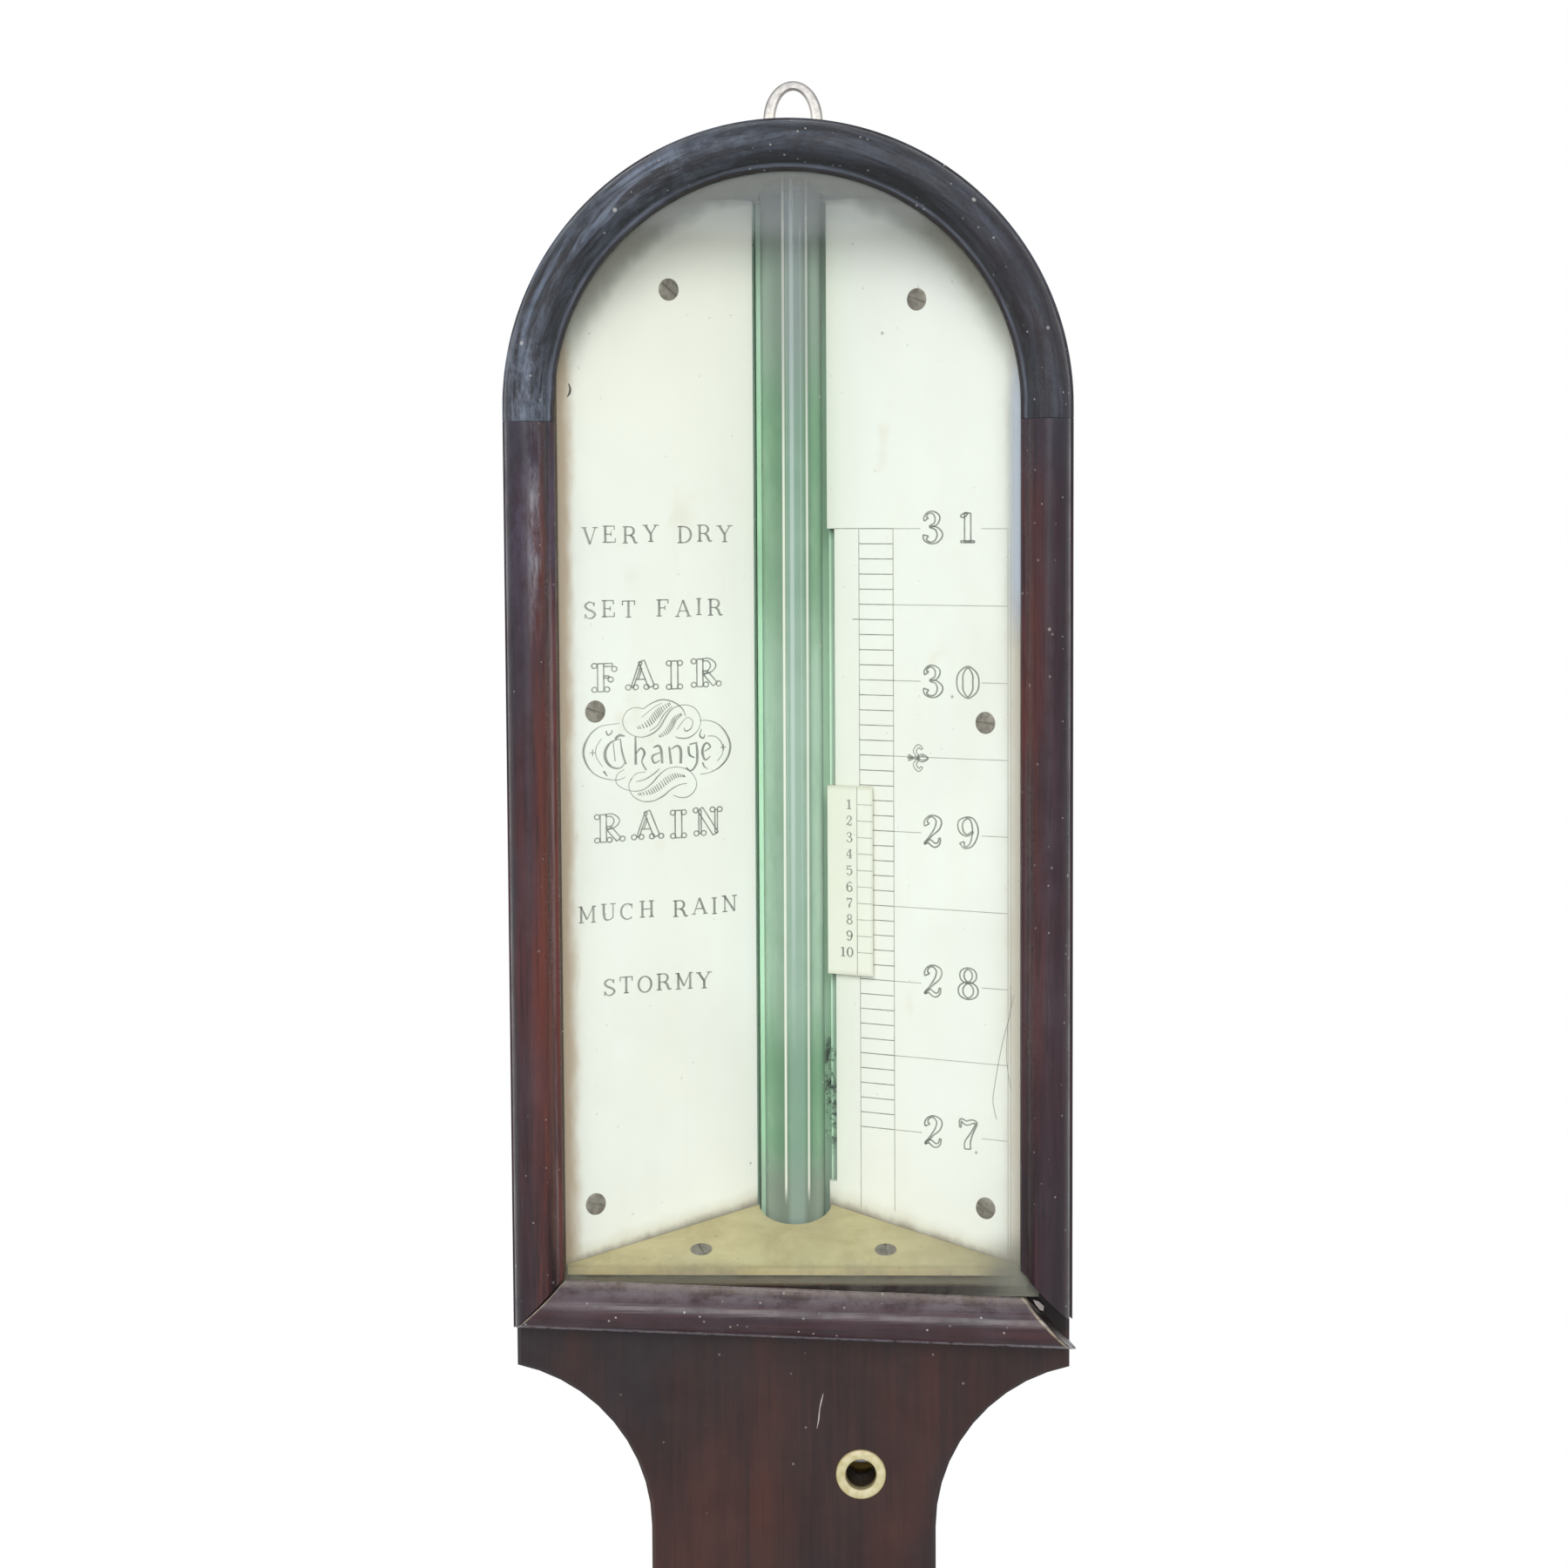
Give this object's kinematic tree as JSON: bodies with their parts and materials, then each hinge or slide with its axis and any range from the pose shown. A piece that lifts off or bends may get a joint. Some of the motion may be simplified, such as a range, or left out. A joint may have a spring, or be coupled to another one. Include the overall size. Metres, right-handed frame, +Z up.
{
  "type": "stick barometer",
  "caption": "Wall-hung stick barometer with an arched glazed head, V-shaped register, rack-driven vernier, glass tube and a portable boxwood cistern.",
  "frame": {"origin": "top inside edge of the hanging eye, in the wall plane", "axes": "+X to the right seen from the front, +Y into the wall, +Z up"},
  "size_m": [0.0934, 0.06, 0.9457],
  "materials": {
    "dark_case_wood": "dark stained and polished, worn at the edges",
    "moulding_wood": "dark polished, with a pale bloom on the arch",
    "window_glass": "clear old glass with a little dust",
    "block_wood": "plain sawn",
    "green_paint": "green paint, patchy",
    "bone_plate": "thin polished bone, engraved and blacked",
    "sill_wood": "dark, dusty",
    "aged_brass": "dull lacquered brass",
    "dull_steel": "dull, slotted",
    "vernier_bone": "thin polished bone",
    "rack_brass": "as cut",
    "arbor_steel": "turned",
    "bush_bone": "turned bone",
    "tube_glass": "drawn tube",
    "mercury": "liquid metal",
    "bag_leather": "soft kid leather",
    "boxwood": "turned boxwood",
    "knob_brass": "turned and polished",
    "screw_brass": "slotted",
    "strip_wood": "plain planed",
    "eye_metal": "plated, worn"
  },
  "bodies": {
    "case": {"case_body": "dark_case_wood", "arch_moulding": "moulding_wood", "left_side_moulding": "moulding_wood", "right_side_moulding": "moulding_wood", "bottom_rail": "moulding_wood", "glass_pane": "window_glass", "left_register_block": "block_wood", "right_register_block": "block_wood", "channel_lining": "green_paint", "left_register_plate": "bone_plate", "right_register_plate": "bone_plate", "register_sill": "sill_wood", "brass_bottom_plate": "aged_brass", "register_screws": "dull_steel", "brass_plate_screws": "dull_steel", "pinion_bracket": "rack_brass", "bracket_screws": "dull_steel", "keyhole_bush": "bush_bone", "glass_tube": "tube_glass", "mercury": "mercury", "tube_seal": "bag_leather", "cistern_lid": "boxwood", "cistern_body": "boxwood", "cistern_base": "boxwood", "leather_bag": "bag_leather", "screw_bush": "knob_brass", "cistern_cover": "moulding_wood", "cover_screws": "screw_brass", "back_strip": "strip_wood", "back_strip_screws": "dull_steel", "hanging_plate": "eye_metal", "hanging_plate_screws": "dull_steel"},
    "vernier": {"vernier_plate": "vernier_bone", "vernier_carrier": "rack_brass", "rack_bar": "rack_brass"},
    "pinion_shaft": {"pinion": "rack_brass", "pinion_arbor": "arbor_steel"},
    "pad": {"pressure_pad": "boxwood"},
    "closing_screw": {"portable_screw": "arbor_steel", "screw_knob": "knob_brass"}
  },
  "joints": [
    {"name": "vernier_travel", "type": "slide", "parent": "case", "child": "vernier", "axis": [0, 0, 1], "range_m": [-0.0361, 0.0434]},
    {"name": "pinion_turn", "type": "hinge", "parent": "case", "child": "pinion_shaft", "pos_m": [0.0113, -0.0139, -0.2322], "axis": [0, 1, 0], "range_deg": [-830, 997]},
    {"name": "pad_lift", "type": "slide", "parent": "case", "child": "pad", "axis": [0, 0, 1], "range_m": [0, 0.007], "deforming": ["leather_bag", "mercury"]},
    {"name": "screw_turn", "type": "hinge", "parent": "pad", "child": "closing_screw", "pos_m": [0, -0.018, -0.92], "axis": [0, 0, 1], "range_deg": [0, 1682]}
  ],
  "couplings": [
    {"joint": "pinion_turn", "follows": "vernier_travel", "rad_per_m": 400},
    {"joint": "screw_turn", "follows": "pad_lift", "rad_per_m": 4188.8}
  ]
}
